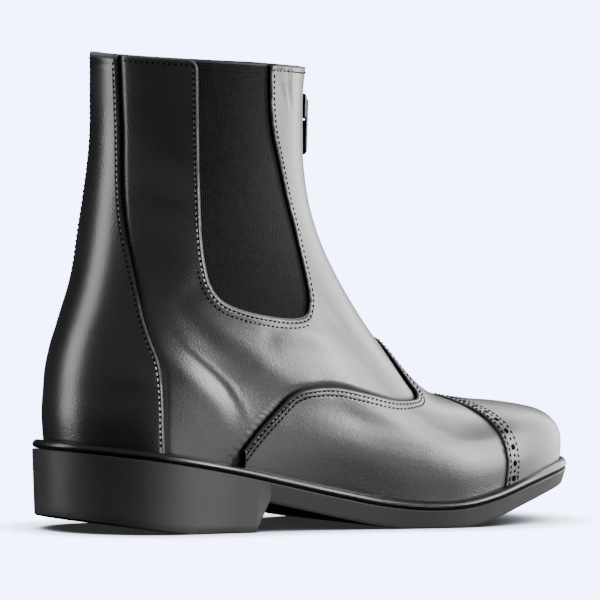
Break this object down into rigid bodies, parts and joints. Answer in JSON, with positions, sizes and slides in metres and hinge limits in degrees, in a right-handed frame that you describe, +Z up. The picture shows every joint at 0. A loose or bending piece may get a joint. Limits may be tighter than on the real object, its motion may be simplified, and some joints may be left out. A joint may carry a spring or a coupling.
{
  "type": "paddock boot",
  "caption": "Right-foot ankle-high leather riding boot with a front zip, side elastic gores, stitched toe cap and low heel.",
  "frame": {"origin": "middle of the whole boot's box, on the floor that the sole stands on", "axes": "+X from heel to toe, +Z up, -Y towards the outer side of this right boot"},
  "size_m": [0.2818, 0.0972, 0.2],
  "materials": {
    "sole": "moulded, satin",
    "welt": "glossy bead",
    "insole": "matte lining leather",
    "quarter_leather": "fine pebbled grain, satin",
    "panel_leather": "fine pebbled grain, satin",
    "elastic": "woven elastic, matte",
    "tape": "woven tape, matte",
    "zip_metal": "black, satin"
  },
  "bodies": {
    "boot": {"outsole": "sole", "welt": "welt", "insole": "insole", "upper": "quarter_leather", "back_panel": "panel_leather", "vamp": "panel_leather", "toe_cap": "panel_leather", "gore_lateral": "elastic", "gore_medial": "elastic", "zip_tape": "tape", "zip_slider": "zip_metal"},
    "pull": {"zip_pull": "zip_metal"}
  },
  "joints": [
    {"name": "pull_hinge", "type": "hinge", "parent": "boot", "child": "pull", "pos_m": [-0.00722, -0.00098, 0.18], "axis": [0, -1, 0], "range_deg": [0, 170]}
  ]
}
